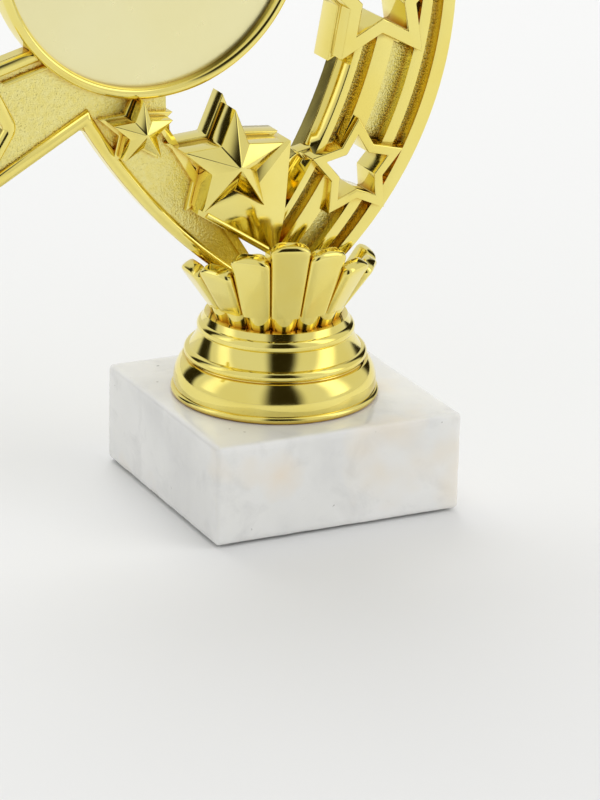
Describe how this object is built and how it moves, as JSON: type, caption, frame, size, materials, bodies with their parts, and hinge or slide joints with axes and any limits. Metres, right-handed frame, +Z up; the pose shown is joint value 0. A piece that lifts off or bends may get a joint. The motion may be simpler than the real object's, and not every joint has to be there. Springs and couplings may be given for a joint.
{
  "type": "star trophy",
  "caption": "Star trophy: gold plastic figure with a round emblem holder, ribbed comet tail, streamer and stars, on a petal crown and a stepped riser bolted to a marble block.",
  "frame": {"origin": "centre of the base pad's underside, which is square with the block; the riser and the figure stand 1.5 mm to the left of it", "axes": "+Z up, the figure and the emblem holder face -Y, +X to the viewer's right"},
  "size_m": [0.0958, 0.05, 0.1581],
  "materials": {
    "marble": "polished white marble with faint grey veins",
    "gold_bright": "vacuum metallised mirror gold",
    "gold_satin": "metallised gold with a fine satin face",
    "steel": "zinc plated",
    "felt": "thin black felt"
  },
  "bodies": {
    "root": {"base_pad": "felt", "marble_block": "marble", "bolt_washer": "steel", "tie_bolt": "steel", "captive_nut": "steel", "riser_bell": "gold_bright", "petal_crown": "gold_bright", "figure_foot": "gold_bright", "emblem_ring": "gold_bright", "emblem_plate": "gold_satin", "large_star": "gold_bright", "large_star_base": "gold_bright", "small_star": "gold_bright", "small_star_base": "gold_bright", "head_star": "gold_bright", "head_star_base": "gold_bright", "open_star_lower": "gold_bright", "open_star_upper": "gold_bright", "star_wedge": "gold_bright", "disc_bridge": "gold_bright", "streamer": "gold_bright", "comet_tail": "gold_bright"}
  },
  "joints": []
}
